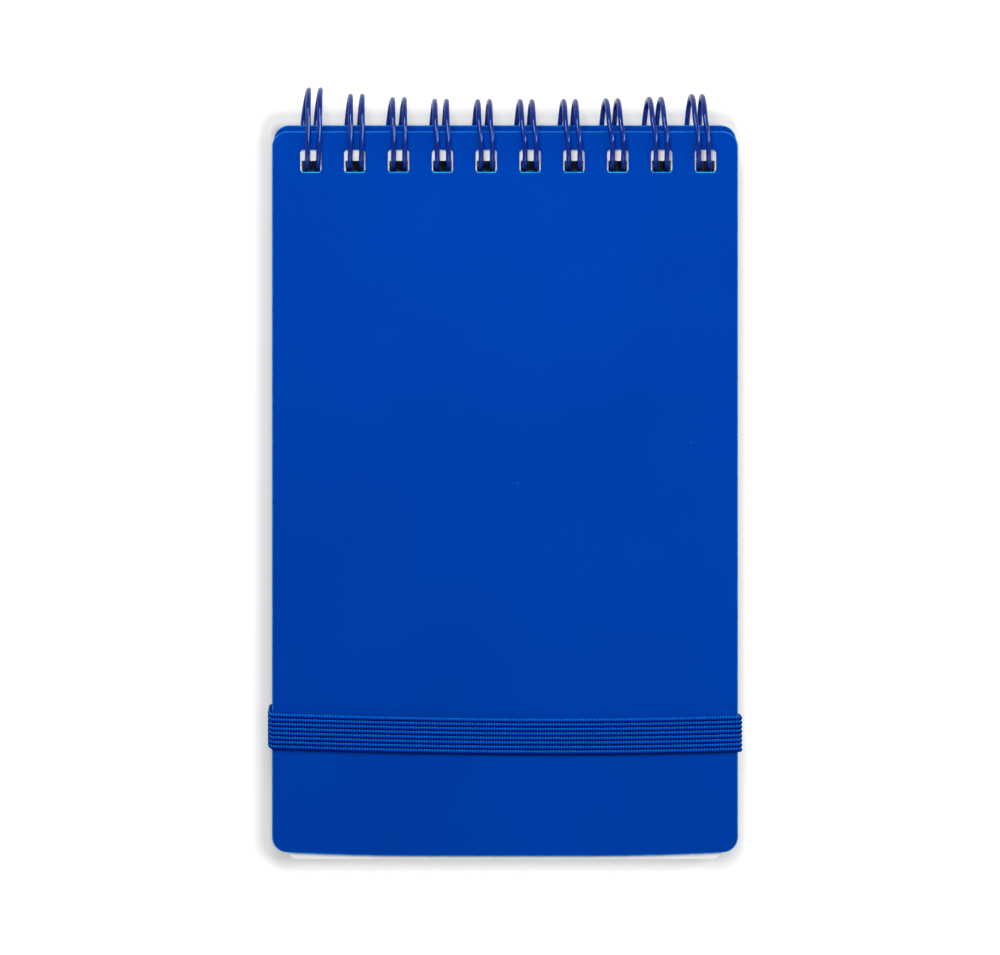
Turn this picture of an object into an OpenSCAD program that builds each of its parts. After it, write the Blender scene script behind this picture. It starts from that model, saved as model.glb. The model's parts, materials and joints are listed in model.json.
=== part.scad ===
// Reporter notebook: two punched plastic covers and a block of sheets on a twin-loop wire,
// held shut by a ribbed elastic band.
// It lies on its back cover: +Z is up, +Y points to the wire, X runs across the covers.

/* [Covers] */
// Width of each cover
cover_w = 90; // [88:1:110]
// Length of each cover
cover_l = 140; // [120:1:180]
// Thickness of the plastic
cover_t = 0.6; // [0.4:0.05:0.7]
// Radius of the covers' corners
cover_corner = 3; // [1:0.5:4]
// How far the back cover's top edge stands past the front cover's
back_lead = 1.7; // [0:0.1:2]

/* [Sheets] */
// How far the sheets' side edges lie inside the covers'
sheets_in = 3; // [1:0.5:3.5]
// Thickness of the whole block of sheets
sheets_t = 7.2; // [5:0.2:7.4]
// How far the sheets stand past the front cover's lower edge
sheets_past = 0.6; // [-3:0.1:1.5]
// Radius of the sheets' two lower corners
sheets_corner = 2; // [0.5:0.5:4]

/* [Punched holes] */
// Distance from one hole to the next, with one double loop of wire to each hole
hole_pitch = 8.47; // [8:0.01:8.5]
// Least distance from the middle of an end hole to the covers' side edges
hole_side = 5; // [4.5:0.5:6]
// How far the row of holes lies to the right of the covers' middle
row_shift = 0.6; // [0:0.1:0.6]
// Width of a hole in the covers
hole_w = 4.1; // [3.8:0.1:4.6]
// Length of a hole in the covers
hole_l = 4.25; // [4.2:0.05:4.6]
// Radius of the corners of a hole in the covers
hole_corner = 0.6; // [0.2:0.1:1]
// Plastic left between a hole and the front cover's top edge
front_margin = 3.55; // [3:0.05:3.6]
// Plastic left between a hole and the back cover's top edge
back_margin = 4.6; // [4.4:0.05:5]
// Width of a hole in the sheets
sheet_hole_w = 3.7; // [3.5:0.1:4.2]
// Length of a hole in the sheets
sheet_hole_l = 4; // [3.8:0.1:4.4]
// Paper left between a hole and the sheets' top edge
sheet_margin = 3.8; // [2.5:0.1:4]
// How far the lowest sheet's holes stand past the top sheet's, as the block follows the loops
sheet_lean = 0.75; // [0.6:0.05:1]

/* [Wire] */
// Diameter of the wire
wire_d = 1; // [0.8:0.05:1.05]
// Outer height of a closed loop
loop_d = 12.7; // [12.5:0.1:13.2]
// Distance between the two strands of a loop
strand_gap = 2.1; // [1.9:0.05:2.2]
// How much longer than high the loops in the middle of the row are
stretch_middle = 2.2; // [2.2:0.05:2.4]
// How much longer than high the loop at the left end is
stretch_left = 4.1; // [2.2:0.1:4.2]
// How much longer than high the loop at the right end is
stretch_right = 3.1; // [2.2:0.1:4.2]
// Radius of the bends at the feet and at the tip of each loop
foot_bend = 0.6; // [0.55:0.05:0.65]
// Straight length of wire before the bends at the feet
foot_run = 0.1; // [0.05:0.05:0.2]

/* [Elastic band] */
// Width of the band
band_w = 6.8; // [5:0.1:10]
// Thickness of the band over its ribs
band_t = 0.75; // [0.6:0.05:0.9]
// Number of ribs, one over each rubber thread
band_ribs = 8; // [7:1:10]
// Distance from the front cover's lower edge to the middle of the band
band_up = 23.3; // [10:0.1:60]
// Radius inside the band where it turns round the covers' edges
band_bend = 0.35; // [0.2:0.05:0.5]

/* [Clearances] */
// Space between the band and the covers
band_clear = 0.1; // [0.05:0.05:0.3]
// Distance from the middle of a strand to the lower end of the front cover's hole
strand_low = 1.3; // [1.1:0.05:1.4]
// Distance from the middle of a strand to the upper end of the top sheet's hole
strand_high = 0.85; // [0.8:0.05:1]
// Space between the back cover and the front cover laid open over it
open_clear = 0.4; // [0.3:0.05:0.5]
// How far the outer arcs of the middle loops are centred past the line the front cover turns on
arc_past = 0.25; // [0.15:0.05:0.35]
// Space between the tip of a loop and its own feet, which it meets underneath
tip_clear = 0.1; // [0.05:0.05:0.15]

/* [Hidden] */
wire_fn = 32;
corner_fn = 64;
over = 1;

// Heights above the surface that the notebook lies on, which the loops touch.
wire_r = wire_d / 2;
loop_r = loop_d / 2 - wire_r;
axis_z = loop_d / 2;
front_z = axis_z + (sheets_t - cover_t - open_clear) / 2;
sheets_z = front_z - sheets_t;
back_z = sheets_z - cover_t;

// As many holes as the covers' width has room for.
hole_count = 1 + floor((cover_w - 2 * hole_side) / hole_pitch);
sheets_w = cover_w - 2 * sheets_in;

// Lengths from the line that the front cover turns on, which is moved to axis_y at the end.
inner_y = arc_past - stretch_middle;
front_mid = front_z + cover_t / 2 - axis_z;
strand_y = inner_y - sqrt(loop_r * loop_r - front_mid * front_mid);
front_hole_y = strand_y - strand_low;
front_top = front_hole_y + hole_l + front_margin;
back_top = front_top + back_lead;
back_hole_y = back_top - back_margin - hole_l;
sheet_hole_top = strand_y + strand_high;
sheets_top = sheet_hole_top + sheet_margin;
lower_edge = front_top - cover_l;
sheets_l = sheets_top - lower_edge + sheets_past;
band_y = lower_edge + band_up;
longest = max(stretch_left, stretch_right, stretch_middle);
wire_top = inner_y + longest + loop_d / 2;
axis_y = (sheets_l - sheets_top - wire_top) / 2;

// The feet of a loop, which bend apart, and its tip, which comes to lie between them.
low_z = axis_z - loop_r;
foot_y = inner_y + foot_run;
link_y = foot_y + foot_bend;
link_x = strand_gap / 2 + foot_bend;
tip_y = foot_y + hundredth(sqrt(pow(wire_d + tip_clear + 2 * foot_bend, 2)
    - pow(2 * foot_bend, 2)));
tip_x = strand_gap / 2 - foot_bend;

// The inside of the band.
band_x = cover_w / 2 + band_clear;
band_low = back_z - band_clear;
band_high = front_z + cover_t + band_clear;
rib_pitch = band_w / band_ribs;

// Sizes that don't come out even are rounded up, so that lengths of wire meet end to end.
function hundredth(l) = ceil(100 * l - 0.001) / 100;

function hole_x(i) = row_shift + hundredth((i - (hole_count - 1) / 2) * hole_pitch);

// The row of loops is bowed: it rises from the middle to both ends.
function stretch(i) =
    let (place = 2 * i / (hole_count - 1) - 1,
         rise = (place < 0 ? stretch_left : stretch_right) - stretch_middle)
    stretch_middle + hundredth(rise * pow(abs(place), 3));

module rounded(w, l, r) {
    translate([-w / 2, r]) square([w, l - 2 * r]);
    translate([r - w / 2, 0]) square([w - 2 * r, l]);
    for (x = [r - w / 2, w / 2 - r], y = [r, l - r])
        translate([x, y]) circle(r, $fn = corner_fn);
}

// A cover with its row of holes. top is its edge at the wire, hole_y the holes' lower end.
module cover(top, hole_y, z) {
    translate([0, axis_y, z])
        difference() {
            translate([0, top - cover_l, 0])
                linear_extrude(cover_t) rounded(cover_w, cover_l, cover_corner);
            for (i = [0 : hole_count - 1])
                translate([hole_x(i), hole_y, -over])
                    linear_extrude(cover_t + 2 * over) rounded(hole_w, hole_l, hole_corner);
        }
}

module front_cover() {
    color("mediumblue") cover(front_top, front_hole_y, front_z);
}

module back_cover() {
    color("mediumblue") cover(back_top, back_hole_y, back_z);
}

module sheets() {
    color("white")
        translate([0, axis_y, sheets_z])
            difference() {
                translate([0, sheets_top - sheets_l, 0])
                    linear_extrude(sheets_t) sheet_outline();
                for (i = [0 : hole_count - 1])
                    translate([hole_x(i), sheet_hole_top, 0]) sheet_hole();
            }
}

module sheet_outline() {
    rounded(sheets_w, sheets_l, sheets_corner);
    translate([-sheets_w / 2, sheets_corner]) square([sheets_w, sheets_l - sheets_corner]);
}

// A hole through the block, which leans as its sheets lie along the round loop.
module sheet_hole() {
    slope = sheet_lean / sheets_t;
    top_end = -over * slope;
    low_end = sheet_lean + over * slope;
    rotate([90, 0, 90])
        linear_extrude(sheet_hole_w, center = true)
            polygon([
                [top_end, sheets_t + over],
                [low_end, -over],
                [low_end - sheet_hole_l, -over],
                [top_end - sheet_hole_l, sheets_t + over],
            ]);
}

// An arc of wire in a plane across X, about [y, z], from angle a to angle b above +Y.
module arc(y, z, a, b) {
    translate([0, y, z])
        rotate([90, 0, 90])
            rotate([0, 0, a])
                rotate_extrude(angle = b - a, $fn = 3 * wire_fn)
                    translate([loop_r, 0]) circle(wire_r, $fn = wire_fn);
}

// A bend of the wire that lies flat, about [x, y], from angle a to angle b.
module bend(x, y, a, b) {
    translate([x, y, low_z])
        rotate([0, 0, a])
            rotate_extrude(angle = b - a, $fn = 2 * wire_fn)
                translate([foot_bend, 0]) circle(wire_r, $fn = wire_fn);
}

// A straight length of wire along Y.
module along(y, z, l) {
    translate([0, y, z]) rotate([-90, 0, 0]) cylinder(l, r = wire_r, $fn = wire_fn);
}

// A straight length of wire along X, underneath.
module across(x, y, l) {
    translate([x, y, low_z]) rotate([0, 90, 0]) cylinder(l, r = wire_r, $fn = wire_fn);
}

// One strand: up from the foot through the holes, over the covers' edges and back to the tip.
module strand(s) {
    outer_y = inner_y + s;
    along(inner_y, low_z, foot_run);
    arc(inner_y, axis_z, 90, 270);
    along(inner_y, axis_z + loop_r, s);
    arc(outer_y, axis_z, -90, 90);
    along(tip_y, low_z, outer_y - tip_y);
}

module loop(i) {
    for (side = [-1, 1])
        translate([side * strand_gap / 2, 0, 0]) strand(stretch(i));
    bend(-tip_x, tip_y, 180, 270);
    across(-tip_x, tip_y - foot_bend, 2 * tip_x);
    bend(tip_x, tip_y, 270, 360);
}

module wire_binding() {
    color("midnightblue")
        translate([0, axis_y, 0])
            for (i = [0 : hole_count - 1]) {
                translate([hole_x(i), 0, 0]) loop(i);
                if (i < hole_count - 1) {
                    bend(hole_x(i) + link_x, foot_y, 90, 180);
                    across(hole_x(i) + link_x, link_y, hole_x(i + 1) - hole_x(i) - 2 * link_x);
                    bend(hole_x(i + 1) - link_x, foot_y, 0, 90);
                }
            }
}

// The band's section: flat inside, with a round rib over each thread outside.
module band_section() {
    rib_r = rib_pitch / 2;
    translate([0, rib_r - band_w / 2]) square([band_t - rib_r, band_w - 2 * rib_r]);
    intersection() {
        for (k = [0 : band_ribs - 1])
            translate([band_t - rib_r, (k + 0.5) * rib_pitch - band_w / 2])
                circle(rib_r, $fn = wire_fn);
        translate([0, -band_w / 2]) square([band_t, band_w]);
    }
}

// A flat stretch of the band, whose outer side faces the angle turn above +X.
module band_run(x, z, turn, l) {
    translate([x, 0, z]) rotate([0, -turn, 0]) linear_extrude(l) band_section();
}

module band_corner(x, z, turn) {
    translate([x, 0, z])
        rotate([90, -turn, 0])
            rotate_extrude(angle = 90, $fn = corner_fn)
                translate([band_bend, 0]) band_section();
}

module elastic_band() {
    run_x = band_x - band_bend;
    run_low = band_low + band_bend;
    run_high = band_high - band_bend;
    color("blue")
        translate([0, axis_y + band_y, 0]) {
            band_run(band_x, run_low, 0, run_high - run_low);
            band_run(run_x, band_high, 90, 2 * run_x);
            band_run(-band_x, run_high, 180, run_high - run_low);
            band_run(-run_x, band_low, 270, 2 * run_x);
            band_corner(run_x, run_high, 0);
            band_corner(-run_x, run_high, 90);
            band_corner(-run_x, run_low, 180);
            band_corner(run_x, run_low, 270);
        }
}

front_cover();
back_cover();
sheets();
wire_binding();
elastic_band();
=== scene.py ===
# A reporter notebook: plastic covers and ruled sheets on twin-loop wire, held shut by elastic.
# Everything is placed in metres; a length multiplied by MM is written in millimetres.
# +Y points to the wire, +Z out of the front cover.
import json
import math

import bpy
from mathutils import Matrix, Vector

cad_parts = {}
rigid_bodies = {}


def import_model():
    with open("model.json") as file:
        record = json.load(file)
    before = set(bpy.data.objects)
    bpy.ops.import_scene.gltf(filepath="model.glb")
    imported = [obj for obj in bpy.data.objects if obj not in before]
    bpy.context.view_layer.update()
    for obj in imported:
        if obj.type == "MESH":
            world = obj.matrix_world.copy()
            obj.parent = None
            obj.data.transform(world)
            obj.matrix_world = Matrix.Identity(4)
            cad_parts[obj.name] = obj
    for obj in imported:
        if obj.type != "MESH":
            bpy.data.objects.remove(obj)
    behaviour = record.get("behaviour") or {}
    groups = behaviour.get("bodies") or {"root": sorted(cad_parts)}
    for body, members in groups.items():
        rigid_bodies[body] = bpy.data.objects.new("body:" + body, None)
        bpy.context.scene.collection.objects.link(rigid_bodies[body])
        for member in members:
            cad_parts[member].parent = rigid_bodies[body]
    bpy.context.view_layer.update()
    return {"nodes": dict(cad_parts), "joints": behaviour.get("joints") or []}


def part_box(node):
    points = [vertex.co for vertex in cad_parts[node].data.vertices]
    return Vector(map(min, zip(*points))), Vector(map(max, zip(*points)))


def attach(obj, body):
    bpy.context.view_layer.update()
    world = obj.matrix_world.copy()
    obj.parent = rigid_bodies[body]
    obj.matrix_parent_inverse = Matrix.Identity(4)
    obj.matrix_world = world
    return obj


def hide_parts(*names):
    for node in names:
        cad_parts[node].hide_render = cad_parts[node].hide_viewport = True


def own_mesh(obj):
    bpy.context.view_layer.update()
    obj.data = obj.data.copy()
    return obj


for thing in list(bpy.data.objects):
    bpy.data.objects.remove(thing)
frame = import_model()
nodes = frame["nodes"]
MM = 0.001

# The covers are two sheets of blue polypropylene, 0.6 mm thick, cut and punched with a die.
# The sheet is satin with a very fine grain, and slightly translucent: light that travels
# inside it comes out along the cut, so every cut edge is a bright, paler blue line, painted as a
# glow into the colour of the cut faces.


def linear(code):
    parts = [int(code[i:i + 2], 16) / 255 for i in (1, 3, 5)]
    return tuple(c / 12.92 if c <= 0.04045 else ((c + 0.055) / 1.055) ** 2.4 for c in parts) + (1,)


def add(tree, kind, sockets={}, links={}, **settings):
    node = tree.nodes.new(kind)
    for name, value in settings.items():
        setattr(node, name, value)
    for name, value in sockets.items():
        node.inputs[name].default_value = value
    for name, source in links.items():
        tree.links.new(source, node.inputs[name])
    return node


def new_material(name):
    material = bpy.data.materials.new(name)
    material.use_nodes = True
    material.node_tree.nodes.clear()
    return material, material.node_tree


def ramp(tree, factor, stops):
    node = add(tree, "ShaderNodeValToRGB", links={"Fac": factor})
    points = node.color_ramp.elements
    while len(points) < len(stops):
        points.new(0.5)
    for point, (place, colour) in zip(points, stops):
        point.position = place
        point.color = colour
    return node.outputs["Color"]


def finish_with(tree, shader):
    add(tree, "ShaderNodeOutputMaterial", links={"Surface": shader.outputs[0]})


cover_sheet, tree = new_material("satin polypropylene sheet")
place = add(tree, "ShaderNodeTexCoord").outputs["Object"]
cloud = add(tree, "ShaderNodeTexNoise", {"Scale": 28, "Detail": 3, "Roughness": 0.5},
            {"Vector": place})
tint = ramp(tree, cloud.outputs["Fac"], [(0.3, linear("#003EA6")), (0.7, linear("#0042AE"))])
# Dust and pinprick scratches, 0.2 mm across and some 15 mm apart.
speck = add(tree, "ShaderNodeTexVoronoi", {"Scale": 110, "Randomness": 1}, {"Vector": place})
dot = add(tree, "ShaderNodeMapRange",
          {"From Min": 0.009, "From Max": 0.02, "To Min": 1, "To Max": 0},
          {"Value": speck.outputs["Distance"]})
rare = add(tree, "ShaderNodeMath", {1: 0.52}, {0: speck.outputs["Color"]},
           operation="GREATER_THAN")
dust = add(tree, "ShaderNodeMath", links={0: dot.outputs["Result"], 1: rare.outputs[0]},
           operation="MULTIPLY")
dusty = add(tree, "ShaderNodeMix", {"B": linear("#1478E0")},
            {"Factor": dust.outputs[0], "A": tint}, data_type="RGBA")
# The grain of the rolled sheet is finer than a pixel; it is drawn 0.5 mm coarse so that it shows.
grain = add(tree, "ShaderNodeTexNoise", {"Scale": 2000, "Detail": 2}, {"Vector": place})
relief = add(tree, "ShaderNodeBump", {"Strength": 0.12, "Distance": 0.00002},
             {"Height": grain.outputs["Fac"]})
shader = add(tree, "ShaderNodeBsdfPrincipled",
             {"Roughness": 0.42, "IOR": 1.49, "Specular IOR Level": 0.3,
              "Specular Tint": linear("#0A5AFF")},
             {"Base Color": dusty.outputs["Result"], "Normal": relief.outputs["Normal"]})
finish_with(tree, shader)

# The cut faces are painted paler blue: a painted glow for the light that comes out of the cut.
edges = []
for name, dull, bright in (("die-cut polypropylene edge, painted glow", "#0064C8", "#0482E0"),
                           ("punched polypropylene edge, painted lit side", "#00A0F0", "#2CC8FF")):
    edge, tree = new_material(name)
    place = add(tree, "ShaderNodeTexCoord").outputs["Object"]
    wobble = add(tree, "ShaderNodeTexNoise", {"Scale": 700, "Detail": 2}, {"Vector": place})
    tint = ramp(tree, wobble.outputs["Fac"], [(0.35, linear(dull)), (0.65, linear(bright))])
    shader = add(tree, "ShaderNodeBsdfPrincipled",
                 {"Roughness": 0.35, "IOR": 1.49, "Specular IOR Level": 0.3,
                  "Specular Tint": linear("#288CFF")},
                 {"Base Color": tint})
    finish_with(tree, shader)
    edges.append(edge)

merge = 0.002 * MM


def deselect():
    if bpy.context.object and bpy.context.object.mode != "OBJECT":
        bpy.ops.object.mode_set(mode="OBJECT")
    bpy.ops.object.select_all(action="DESELECT")


def start_from(node, name, row):
    """Copy a CAD solid and leave it in edit mode; row is its holes' distance from the top edge."""
    deselect()
    piece = bpy.data.objects.new(name, nodes[node].data.copy())
    piece.data.name = name
    bpy.context.collection.objects.link(piece)
    piece.data.materials.clear()
    piece.select_set(True)
    bpy.context.view_layer.objects.active = piece
    bpy.ops.object.mode_set(mode="EDIT")
    bpy.ops.mesh.select_all(action="SELECT")
    bpy.ops.mesh.remove_doubles(threshold=merge)
    # A seam through the middle of the punched row keeps the flat faces free of holes.
    bpy.ops.mesh.bisect(plane_co=(0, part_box(node)[1].y - row * MM, 0), plane_no=(0, 1, 0))
    bpy.ops.mesh.mark_seam()
    bpy.ops.mesh.select_all(action="SELECT")
    bpy.ops.mesh.dissolve_limited(angle_limit=math.radians(0.5), delimit={"SEAM"})
    return piece


def smooth(piece, angle=35):
    deselect()
    piece.select_set(True)
    bpy.context.view_layer.objects.active = piece
    bpy.ops.object.shade_smooth_by_angle(angle=math.radians(angle))


front_row = 5.675
back_row = 6.725
# The front cover's free end is a little bowed, so its two lower corners stand back.
bow = 0.7
bow_reach = 26
bow_cuts = (-38, -34, -29, -23, -15, 0, 15, 23, 29, 34, 38)
corner_x = 40
corner_y = 6
edge_round = 0.22
# The holes lie in a strip between these depths below the top edge, clear of the two sides.
punched_from = 3
punched_to = 9.5
side_margin = 2
CUT_EDGE = 1
PAINTED_LIT_EDGE = 2
for node, body, row in (("front_cover", "front_cover", front_row),
                        ("back_cover", "block", back_row)):
    cover = start_from(node, node + "_sheet", row)
    low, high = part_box(node)
    if node == "front_cover":
        for x in bow_cuts:
            bpy.ops.mesh.select_all(action="SELECT")
            bpy.ops.mesh.bisect(plane_co=(x * MM, 0, 0), plane_no=(1, 0, 0))
        for side in (-1, 1):
            bpy.ops.mesh.select_all(action="DESELECT")
            bpy.ops.object.mode_set(mode="OBJECT")
            for v in cover.data.vertices:
                v.select = v.co.x * side > corner_x * MM and v.co.y < low.y + corner_y * MM
            bpy.ops.object.mode_set(mode="EDIT")
            bpy.ops.transform.translate(value=(0, bow * MM, 0), use_proportional_edit=True,
                                        proportional_edit_falloff="SHARP",
                                        proportional_size=bow_reach * MM)
    bpy.ops.mesh.select_all(action="DESELECT")
    bpy.ops.mesh.select_mode(type="EDGE")
    bpy.ops.mesh.edges_select_sharp(sharpness=math.radians(60))
    bpy.ops.mesh.bevel(offset=edge_round * MM, segments=2, profile=0.6)
    bpy.ops.object.mode_set(mode="OBJECT")
    cover.data.materials.append(cover_sheet)
    for edge in edges:
        cover.data.materials.append(edge)
    # Painted lit side: walls and roundings of the punched holes that face +Y, towards the lights,
    # get the brighter painted edge. The other cut faces get the painted glow of the cut edge.
    for face in cover.data.polygons:
        x, y, _ = face.center
        if abs(face.normal.z) < 0.97:
            punched = (abs(x) < high.x - side_margin * MM
                       and punched_from * MM < high.y - y < punched_to * MM)
            rounded = abs(face.normal.z) > 0.5
            if punched and face.normal.y > 0.2:
                face.material_index = PAINTED_LIT_EDGE
            elif not (punched and rounded):
                face.material_index = CUT_EDGE
    smooth(cover)
    for face in cover.data.polygons:
        face.use_smooth = abs(face.normal.z) < 0.999
    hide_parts(node)
    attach(cover, body)

# The sheets are about 72 leaves of white writing paper, punched like the covers. They are never
# quite flush, so the block is built of thin bundles that each lie a hair out of line.

line_step = 7
line_w = 0.3
leaf_half = 0.2
# The walls of the punched holes are painted darker, as shade, going down between these depths below
# the top edge, and are left alone past the foot of the row and past its two ends, measured from the
# middle.
dark_from, dark_to = 4, 4.9
foot_from, foot_to = 9, 9.5
end_from, end_to = 41, 41.2
top_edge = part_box("sheets")[1].y
paper, tree = new_material("uncoated writing paper")
place = add(tree, "ShaderNodeTexCoord").outputs["Object"]
axes = add(tree, "ShaderNodeSeparateXYZ", links={"Vector": place})
fibre = add(tree, "ShaderNodeTexNoise", {"Scale": 900, "Detail": 4}, {"Vector": place})
tint = ramp(tree, fibre.outputs["Fac"], [(0.35, linear("#F8F8F6")), (0.65, linear("#FEFEFC"))])
# Faint ruling, one line every 7 mm, on the flat pages only.
down_page = add(tree, "ShaderNodeMath", {1: line_step * MM, 2: 0}, {0: axes.outputs["Y"]},
                operation="WRAP")
near = add(tree, "ShaderNodeMath", {1: line_w * MM}, {0: down_page.outputs[0]},
           operation="LESS_THAN")
facing = add(tree, "ShaderNodeNewGeometry")
upward = add(tree, "ShaderNodeSeparateXYZ", links={"Vector": facing.outputs["Normal"]})
flat = add(tree, "ShaderNodeMath", {1: 0.9}, {0: upward.outputs["Z"]}, operation="GREATER_THAN")
ruled = add(tree, "ShaderNodeMath", links={0: near.outputs[0], 1: flat.outputs[0]},
            operation="MULTIPLY")
page = add(tree, "ShaderNodeMix", {"B": linear("#C9D3E4")},
           {"Factor": ruled.outputs[0], "A": tint}, data_type="RGBA")
# Leaves are 0.1 mm thick; the lines between them are painted shade, drawn 0.4 mm apart, twice
# leaf_half, so that they show.
leaves = add(tree, "ShaderNodeMath", {1: leaf_half * MM}, {0: axes.outputs["Z"]},
             operation="PINGPONG")
leaf_line_shade = add(tree, "ShaderNodeMapRange",
             {"From Min": 0, "From Max": leaf_half * MM, "To Min": 0.8, "To Max": 1},
             {"Value": leaves.outputs[0]})
# Painted shade: inside the punched holes every wall is painted dark but the one on the side of the
# wire, which takes light.
hole_shade = add(tree, "ShaderNodeMapRange",
           {"From Min": top_edge - dark_from * MM, "From Max": top_edge - dark_to * MM,
            "To Min": 1, "To Max": 0.12},
           {"Value": axes.outputs["Y"]})
across = add(tree, "ShaderNodeMath", links={0: axes.outputs["X"]}, operation="ABSOLUTE")
rim = add(tree, "ShaderNodeMapRange", {"From Min": end_from * MM, "From Max": end_to * MM},
          {"Value": across.outputs[0]})
below = add(tree, "ShaderNodeMapRange",
            {"From Min": top_edge - foot_from * MM, "From Max": top_edge - foot_to * MM},
            {"Value": axes.outputs["Y"]})
open_side = add(tree, "ShaderNodeMath", links={0: rim.outputs[0], 1: below.outputs[0]},
                operation="MAXIMUM")
dim = add(tree, "ShaderNodeMath", links={0: hole_shade.outputs[0], 1: open_side.outputs[0]},
          operation="MAXIMUM")
painted_wall_shade = add(tree, "ShaderNodeMath", links={0: leaf_line_shade.outputs["Result"], 1: dim.outputs[0]},
           operation="MULTIPLY")
lit = add(tree, "ShaderNodeMath", links={0: painted_wall_shade.outputs[0], 1: flat.outputs[0]},
          operation="MAXIMUM")
shaded = add(tree, "ShaderNodeVectorMath",
             links={"Vector": page.outputs["Result"], "Scale": lit.outputs[0]},
             operation="SCALE")
relief = add(tree, "ShaderNodeBump", {"Strength": 0.15, "Distance": 0.00003},
             {"Height": fibre.outputs["Fac"]})
shader = add(tree, "ShaderNodeBsdfPrincipled",
             {"Roughness": 0.9, "IOR": 1.5, "Specular IOR Level": 0.2},
             {"Base Color": shaded.outputs[0], "Normal": relief.outputs["Normal"]})
finish_with(tree, shader)

sheets_row = 5.8
bundles = 18
low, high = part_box("sheets")
bundle_t = (high.z - low.z) / bundles
block = []
for k in range(bundles):
    bundle = start_from("sheets", "bundle", sheets_row)
    bottom = low.z + k * bundle_t
    if k > 0:
        bpy.ops.mesh.select_all(action="SELECT")
        bpy.ops.mesh.bisect(plane_co=(0, 0, bottom), plane_no=(0, 0, 1), use_fill=True,
                            clear_inner=True, threshold=0.001 * MM)
    if k < bundles - 1:
        bpy.ops.mesh.select_all(action="SELECT")
        bpy.ops.mesh.bisect(plane_co=(0, 0, bottom + bundle_t), plane_no=(0, 0, 1), use_fill=True,
                            clear_outer=True, threshold=0.001 * MM)
    bpy.ops.mesh.select_all(action="SELECT")
    slip = (0.07 * MM * math.sin(5.1 * k + 1), 0.06 * MM * math.sin(3.7 * k), 0)
    bpy.ops.transform.translate(value=slip)
    bpy.ops.object.mode_set(mode="OBJECT")
    block.append(bundle)
deselect()
for bundle in block:
    bundle.select_set(True)
bpy.context.view_layer.objects.active = block[0]
bpy.ops.object.join()
sheets = bpy.context.object
sheets.name = "paper_block"
sheets.data.name = "paper_block"
sheets.data.materials.append(paper)
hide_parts("sheets")
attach(sheets, "block")

# The binding is one length of 1 mm steel wire with a glossy navy coating, bent into double loops
# and closed through the punched holes. The loops lean a little, each in its own way.

enamel, tree = new_material("navy coated steel wire")
place = add(tree, "ShaderNodeTexCoord").outputs["Object"]
drift = add(tree, "ShaderNodeTexNoise", {"Scale": 600, "Detail": 3}, {"Vector": place})
tint = ramp(tree, drift.outputs["Fac"], [(0.3, linear("#001E80")), (0.7, linear("#002C94"))])
relief = add(tree, "ShaderNodeBump", {"Strength": 0.15, "Distance": 0.00003},
             {"Height": drift.outputs["Fac"]})
shader = add(tree, "ShaderNodeBsdfPrincipled",
             {"Roughness": 0.12, "IOR": 1.5, "Specular IOR Level": 1,
              "Specular Tint": linear("#6EA5FF"),
              "Coat Weight": 0.45, "Coat IOR": 1.6, "Coat Roughness": 0.06},
             {"Base Color": tint, "Normal": relief.outputs["Normal"]})
finish_with(tree, shader)

# Millimetres from here to the end of the wire: x from the notebook's middle, y and z from the
# hinge's axis, which runs through the loops.
loops = 10
wire_r = 0.5
loop_r = 5.85
pitch = 8.47
strand_gap = 1.05
inner_y = -1.95
tip_y = 0.5
foot_y = -1.85
bend_r = 0.6
arc_steps = 30
hinge_y = frame["joints"][0]["pos_m"][1] / MM
hinge_z = frame["joints"][0]["pos_m"][2] / MM
row_x = (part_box("wire_binding")[0].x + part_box("wire_binding")[1].x) / 2 / MM
# The loops reach out furthest at the two ends of the row.
middle_reach = 1.95
left_reach = 2.25
right_reach = 1
# How far each pair of strands stands right of its hole: at the hole, over the cover's edge,
# at the outermost point and underneath.
at_hole = (0.49, 0.25, 0.15, 0.1, 0.1, 0.1, 0.05, 0, -0.1, -0.42)
at_edge = (0.75, 0.57, 0.3, 0.05, 0.08, -0.02, -0.12, 0.03, 0, -0.55)
at_apex = (0.66, 0.27, -0.06, -0.38, -0.53, -0.79, -0.85, -1.12, -1.21, -1.58)
at_back = (-0.64, -0.66, -1.08, -1.08, -1.22, -1.48, -1.48, -1.82, -2, -2.08)
last_loop_tightness = 0.88
evening_passes = 6


def between(t, stops):
    for (t0, v0), (t1, v1) in zip(stops, stops[1:]):
        if t <= t1:
            return v0 + (v1 - v0) * (t - t0) / (t1 - t0)
    return stops[-1][1]


def loop_x(i):
    return row_x + (i - (loops - 1) / 2) * pitch


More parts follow.
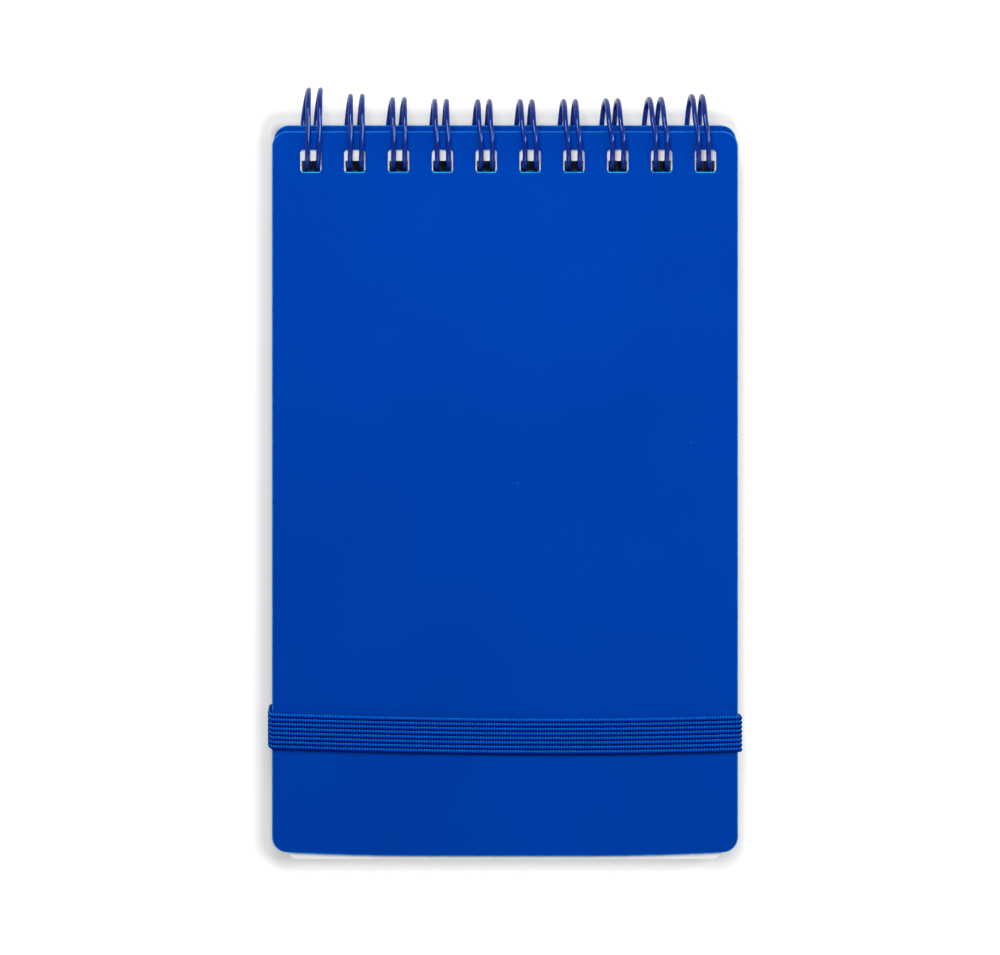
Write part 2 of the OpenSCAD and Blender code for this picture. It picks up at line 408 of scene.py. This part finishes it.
def strand(i, side):
    """One strand from its foot up through the hole and round to its tip, as points."""
    place = 2 * i / (loops - 1) - 1
    outer_y = inner_y + middle_reach + (left_reach if place < 0 else right_reach) * abs(place) ** 3
    path = []
    for k in range(arc_steps + 1):
        a = math.radians(270 - 180 / arc_steps * k)
        path.append((k / arc_steps, inner_y + loop_r * math.cos(a), loop_r * math.sin(a)))
    for k in range(1, 4):
        path.append((1 + k / 4, inner_y + (outer_y - inner_y) * k / 4, loop_r))
    for k in range(arc_steps + 1):
        a = math.radians(90 - 180 / arc_steps * k)
        path.append((2 + k / arc_steps, outer_y + loop_r * math.cos(a), loop_r * math.sin(a)))
    for k in range(1, 4):
        if outer_y > tip_y:
            path.append((3 + k / 3, outer_y + (tip_y - outer_y) * k / 3, -loop_r))
    lean = [(0, 0), (0.5, 0), (0.8, at_hole[i]), (1.5, at_edge[i]), (2.5, at_apex[i]),
            (3, at_back[i]), (4, 0.95 * at_back[i])]
    tight = last_loop_tightness if i == loops - 1 else 1
    half = [(0, strand_gap), (1, 1.07 * tight), (2.5, 1.14 * tight), (3, 1.25), (4, 1.25)]
    points = []
    for t, y, z in path:
        points.append([between(t, lean) + side * between(t, half), y, z])
    for _ in range(evening_passes):
        even = [p[0] for p in points]
        for k in range(1, len(points) - 1):
            points[k][0] = (even[k - 1] + 2 * even[k] + even[k + 1]) / 4
    return [(loop_x(i) + x, y, z) for x, y, z in points]


def quarter(x, y, z, a, b):
    return [(x + bend_r * math.cos(math.radians(a + (b - a) * k / 6)),
             y + bend_r * math.sin(math.radians(a + (b - a) * k / 6)), z) for k in range(1, 7)]


line = []
for i in range(loops):
    left = strand(i, -1)
    right = strand(i, 1)
    x0 = loop_x(i)
    if i > 0:
        line += quarter(x0 - strand_gap - bend_r, foot_y, -loop_r, 90, 0)
    line += left
    lx, ly, lz = left[-1]
    rx, ry, rz = right[-1]
    line += quarter(lx + bend_r, ly, lz, 180, 270)
    line += quarter(rx - bend_r, ry, rz, 270, 360)
    line += right[-2::-1]
    if i < loops - 1:
        line += [(x0 + strand_gap, foot_y, -loop_r)]
        line += quarter(x0 + strand_gap + bend_r, foot_y, -loop_r, 180, 90)
        line += [(x0 + strand_gap + bend_r + d, foot_y + bend_r, -loop_r) for d in (1.7, 3.5)]

deselect()
bpy.ops.curve.primitive_nurbs_path_add()
wire = bpy.context.object
wire.data.splines.clear()
spline = wire.data.splines.new("POLY")
spline.points.add(len(line) - 1)
for point, (x, y, z) in zip(spline.points, line):
    point.co = (x * MM, (y + hinge_y) * MM, (z + hinge_z) * MM, 1)
wire.data.dimensions = "3D"
wire.data.twist_mode = "MINIMUM"
wire.data.bevel_depth = wire_r * MM
wire.data.bevel_resolution = 3
wire.data.use_fill_caps = True
bpy.ops.object.convert(target="MESH")
wire = bpy.context.object
bpy.ops.object.mode_set(mode="EDIT")
bpy.ops.mesh.select_all(action="SELECT")
bpy.ops.mesh.remove_doubles(threshold=merge)
bpy.ops.mesh.normals_make_consistent(inside=False)
bpy.ops.object.mode_set(mode="OBJECT")
wire.name = "twin_loop_wire"
wire.data.name = "twin_loop_wire"
wire.data.materials.clear()
wire.data.materials.append(enamel)
smooth(wire, 50)
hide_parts("wire_binding")
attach(wire, "block")

# The band is flat braided elastic, 7 mm wide, sewn into a loop: rubber threads side by side, each
# covered with blue yarn that crosses over it. It is stretched round the notebook and sags a little.

rib_pitch = 0.87
ribs = 8
band_w = ribs * rib_pitch
# The yarn crosses each thread every 0.2 mm; it is drawn 0.52 mm apart so that it shows.
stitch_pitch = 0.52
braid, tree = new_material("braided elastic, polyester over rubber")
# u runs along the band and v across it, both in millimetres.
weave = add(tree, "ShaderNodeUVMap").outputs["UV"]
axes = add(tree, "ShaderNodeSeparateXYZ", links={"Vector": weave})
# Across each rib the colour is painted from dark navy at its lower edge to bright blue at its upper
# edge, towards +Y. This is painted shade in the furrow and a painted highlight on the side facing
# the lights, laid over the yarn's own stitches and fuzz.
thread = add(tree, "ShaderNodeMath", {1: rib_pitch}, {0: axes.outputs["Y"]}, operation="DIVIDE")
rib_rise_and_light = add(tree, "ShaderNodeMath", links={0: thread.outputs[0]}, operation="FRACT")
slant = add(tree, "ShaderNodeMath", {1: 0.12}, {0: rib_rise_and_light.outputs[0], 2: axes.outputs["X"]},
            operation="MULTIPLY_ADD")
turn = add(tree, "ShaderNodeMath", {1: 2 * math.pi / stitch_pitch}, {0: slant.outputs[0]},
           operation="MULTIPLY")
wave = add(tree, "ShaderNodeMath", links={0: turn.outputs[0]}, operation="SINE")
yarn_and_painted_light = add(tree, "ShaderNodeMath", links={0: wave.outputs[0], 1: rib_rise_and_light.outputs[0]},
                operation="MULTIPLY")
fuzz = add(tree, "ShaderNodeTexNoise", {"Scale": 3, "Detail": 3}, {"Vector": weave})
fuzz_and_painted_light = add(tree, "ShaderNodeMath", {1: 0.3}, {0: fuzz.outputs["Fac"], 2: rib_rise_and_light.outputs[0]},
            operation="MULTIPLY_ADD")
level = add(tree, "ShaderNodeMath", {1: 0.15}, {0: fuzz_and_painted_light.outputs[0]}, operation="SUBTRACT")
braid_and_painted_light = add(tree, "ShaderNodeMath", {1: 0.3}, {0: yarn_and_painted_light.outputs[0], 2: level.outputs[0]},
             operation="MULTIPLY_ADD")
tint = ramp(tree, braid_and_painted_light.outputs[0],
            [(0, linear("#00085A")), (0.28, linear("#000C6A")), (0.5, linear("#0030AA")),
             (0.72, linear("#0042BE")), (0.88, linear("#0060D2")), (1, linear("#0098F4"))])
relief = add(tree, "ShaderNodeBump", {"Strength": 0.6, "Distance": 0.0001},
             {"Height": yarn_and_painted_light.outputs[0]})
shader = add(tree, "ShaderNodeBsdfPrincipled",
             {"Roughness": 0.7, "Specular IOR Level": 0.2, "Specular Tint": linear("#3C96FF"),
              "Sheen Weight": 0.1, "Sheen Roughness": 0.4, "Sheen Tint": linear("#5AB4FF")},
             {"Base Color": tint, "Normal": relief.outputs["Normal"]})
finish_with(tree, shader)

# Millimetres again, to the end of the band.
low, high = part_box("elastic_band")
band_t = 0.75
furrow = 0.38
rib_steps = 6
mid_y = (low.y + high.y) / 2 / MM
inside_x = high.x / MM - band_t
inside_low = low.z / MM + band_t
inside_high = high.z / MM - band_t
corner = 0.35
# How far the back run lies above the mean at its middle, and how much more at its left end.
back_y = 1.375
back_tilt = 0.925


def round_loop(s):
    """The point and outward direction at length s round the inside of the band."""
    wide = 2 * (inside_x - corner)
    tall = inside_high - inside_low - 2 * corner
    turn = math.pi / 2 * (corner + band_t)
    legs = (("run", wide), ("bend", turn), ("run", tall), ("bend", turn)) * 2
    x, z, a = -inside_x + corner, inside_high, 90
    for kind, length in legs:
        step = min(s, length)
        if kind == "run":
            r = math.radians(a - 90)
            x, z = x + step * math.cos(r), z + step * math.sin(r)
        else:
            r = math.radians(a)
            cx, cz = x - corner * math.cos(r), z - corner * math.sin(r)
            a = a - 90 * step / length
            r = math.radians(a)
            x, z = cx + corner * math.cos(r), cz + corner * math.sin(r)
        if s <= length:
            break
        s -= length
    return x, z, a


def sag(x):
    """How far the band's middle line lies above its mean, from edge to edge of the cover."""
    knots = ((-45.5, 0.8), (-20, 0.1), (18.6, -0.2), (45.5, 0.35))
    total = 0
    for j, (xj, yj) in enumerate(knots):
        part = yj
        for m, (xm, _) in enumerate(knots):
            if m != j:
                part *= (x - xm) / (xj - xm)
        total += part
    return total


around = 2 * (2 * (inside_x - corner) + inside_high - inside_low - 2 * corner
              + math.pi * (corner + band_t))
profile = []
for k in range(ribs * rib_steps + 1):
    f = k % rib_steps / rib_steps
    crown = math.sqrt(1 - (2 * f - 1) ** 2) if f else 0
    profile.append((-band_w / 2 + k * rib_pitch / rib_steps, band_t - furrow * (1 - crown)))
profile[0] = (-band_w / 2, 0.4)
profile[-1] = (band_w / 2, 0.4)
profile += [(band_w / 2, 0.05), (band_w / 6, 0), (-band_w / 6, 0), (-band_w / 2, 0.05), profile[0]]
columns = 640
rows = len(profile) - 1
deselect()
bpy.ops.mesh.primitive_grid_add(x_subdivisions=columns, y_subdivisions=rows, size=2, calc_uvs=True)
band = bpy.context.object
uv = band.data.uv_layers[0].data
spots = {}
for v in band.data.vertices:
    c = round((v.co.x + 1) / 2 * columns)
    r = round((v.co.y + 1) / 2 * rows)
    s = c / columns * around
    a, h = profile[r]
    spots[v.index] = (s, a + band_w / 2)
    x, z, angle = round_loop(s)
    out = math.radians(angle)
    down = inside_high - z
    if abs(x) < inside_x - corner and down > 1:
        # Behind, the band lies a little askew, so its left end peeps out above the front run.
        y = back_y - back_tilt * x / 45
    elif x > 0:
        y = sag(x) + 0.1 * min(1, down / 5)
    else:
        y = sag(x) + 2 * min(down, corner) + 0.8 * min(1, max(0, down - corner) / 5)
    v.co = ((x + h * math.cos(out)) * MM, (mid_y + a + y) * MM, (z + h * math.sin(out)) * MM)
for loop in band.data.loops:
    uv[loop.index].uv = spots[loop.vertex_index]
bpy.ops.object.mode_set(mode="EDIT")
bpy.ops.mesh.select_all(action="SELECT")
bpy.ops.mesh.remove_doubles(threshold=merge)
bpy.ops.mesh.normals_make_consistent(inside=False)
bpy.ops.object.mode_set(mode="OBJECT")
band.name = "braided_band"
band.data.name = "braided_band"
band.data.materials.append(braid)
smooth(band, 60)
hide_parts("elastic_band")
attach(band, "block")
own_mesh(band)

# The table is a white studio sheet. Away from the notebook it looks pure white, and close to the
# notebook only the light that falls on it counts, so that it keeps the shadow; the darker border
# left where the white fades out is painted shade.

table, tree = new_material("white studio table")
path = add(tree, "ShaderNodeLightPath")
mirrored = add(tree, "ShaderNodeMath", links={0: path.outputs["Is Glossy Ray"],
                                              1: path.outputs["Is Transmission Ray"]},
               operation="MAXIMUM")
faint = add(tree, "ShaderNodeMath", {1: 0.3}, {0: mirrored.outputs[0]}, operation="MULTIPLY")
seen = add(tree, "ShaderNodeMath", links={0: path.outputs["Is Camera Ray"], 1: faint.outputs[0]},
           operation="MAXIMUM")
# The distance from a rectangle a little smaller than the covers, shifted towards the shadow, so
# that the painted shade is wider on that side.
zone_shift = (0.0012, 0.0026, 0)
zone_half = (0.0425, 0.0689, 0)
place = add(tree, "ShaderNodeTexCoord").outputs["Object"]
centred = add(tree, "ShaderNodeVectorMath", {1: zone_shift}, {0: place}, operation="ADD")
folded = add(tree, "ShaderNodeVectorMath", links={0: centred.outputs[0]}, operation="ABSOLUTE")
past = add(tree, "ShaderNodeVectorMath", {1: zone_half}, {0: folded.outputs[0]},
           operation="SUBTRACT")
outside = add(tree, "ShaderNodeVectorMath", {1: (0, 0, 0)}, {0: past.outputs[0]},
              operation="MAXIMUM")
apart = add(tree, "ShaderNodeVectorMath", links={0: outside.outputs[0]}, operation="LENGTH")
fade = add(tree, "ShaderNodeMapRange",
           {"From Min": 0, "From Max": 0.0022, "To Min": 0, "To Max": 0.42},
           {"Value": apart.outputs["Value"]})
far = add(tree, "ShaderNodeMapRange",
          {"From Min": 0.0034, "From Max": 0.007, "To Min": 0, "To Max": 0.45},
          {"Value": apart.outputs["Value"]})
rising = add(tree, "ShaderNodeMath", links={0: fade.outputs[0], 1: far.outputs[0]},
             operation="ADD")
gain = add(tree, "ShaderNodeMath", links={0: seen.outputs[0], 1: rising.outputs[0]},
           operation="MULTIPLY")
glow = add(tree, "ShaderNodeEmission", {"Color": (1, 1, 1, 1)}, {"Strength": gain.outputs[0]})
matt = add(tree, "ShaderNodeBsdfDiffuse", {"Color": linear("#B8B8B8")})
both = add(tree, "ShaderNodeAddShader", links={0: matt.outputs[0], 1: glow.outputs[0]})
finish_with(tree, both)

deselect()
bpy.ops.mesh.primitive_plane_add(size=6)
floor = bpy.context.object
floor.name = "table"
floor.data.materials.append(table)

# Lights: a long narrow box high on the right, a small one above the wire, one far past the lower
# edge, and a dim room that is darkest overhead.

room = bpy.data.worlds.new("studio")
bpy.context.scene.world = room
room.use_nodes = True
tree = room.node_tree
tree.nodes.clear()
way = add(tree, "ShaderNodeTexCoord").outputs["Generated"]
height = add(tree, "ShaderNodeSeparateXYZ", links={"Vector": way})
shade = ramp(tree, height.outputs["Z"],
             [(0, (0.36, 0.36, 0.36, 1)), (0.5, (0.32, 0.32, 0.32, 1)),
              (1, (0.12, 0.12, 0.12, 1))])
walls = add(tree, "ShaderNodeBackground", {"Strength": 1}, {"Color": shade})
blank = add(tree, "ShaderNodeBackground", {"Color": (1, 1, 1, 1), "Strength": 1})
path = add(tree, "ShaderNodeLightPath")
room_view = add(tree, "ShaderNodeMixShader",
                links={0: path.outputs["Is Camera Ray"], 1: walls.outputs[0],
                       2: blank.outputs[0]})
add(tree, "ShaderNodeOutputWorld", links={"Surface": room_view.outputs[0]})


def soft_box(name, place, wide, hole_shade, power):
    deselect()
    bpy.ops.object.light_add(type="AREA", location=place)
    lamp = bpy.context.object
    lamp.name = name
    lamp.data.shape = "RECTANGLE"
    lamp.data.size = wide
    lamp.data.size_y = hole_shade
    lamp.data.energy = power
    lamp.rotation_euler = (-lamp.location).to_track_quat("-Z", "Y").to_euler()


soft_box("key_light", (0.34, 0.095, 0.5), 0.06, 0.8, 1.2)
soft_box("top_light", (-0.04, 0.2, 0.38), 0.1, 0.25, 0.97)
soft_box("low_light", (0.1, -1, 0.5), 0.4, 0.4, 1.3)

# The camera looks straight down from one metre above the front cover.

deselect()
bpy.ops.object.camera_add(location=(-0.97 * MM, -0.91 * MM, 1010.05 * MM))
camera = bpy.context.object
camera.data.sensor_width = 36
camera.data.lens = 186.4
camera.data.clip_end = 20
bpy.context.scene.camera = camera
bpy.context.scene.view_settings.view_transform = "Standard"
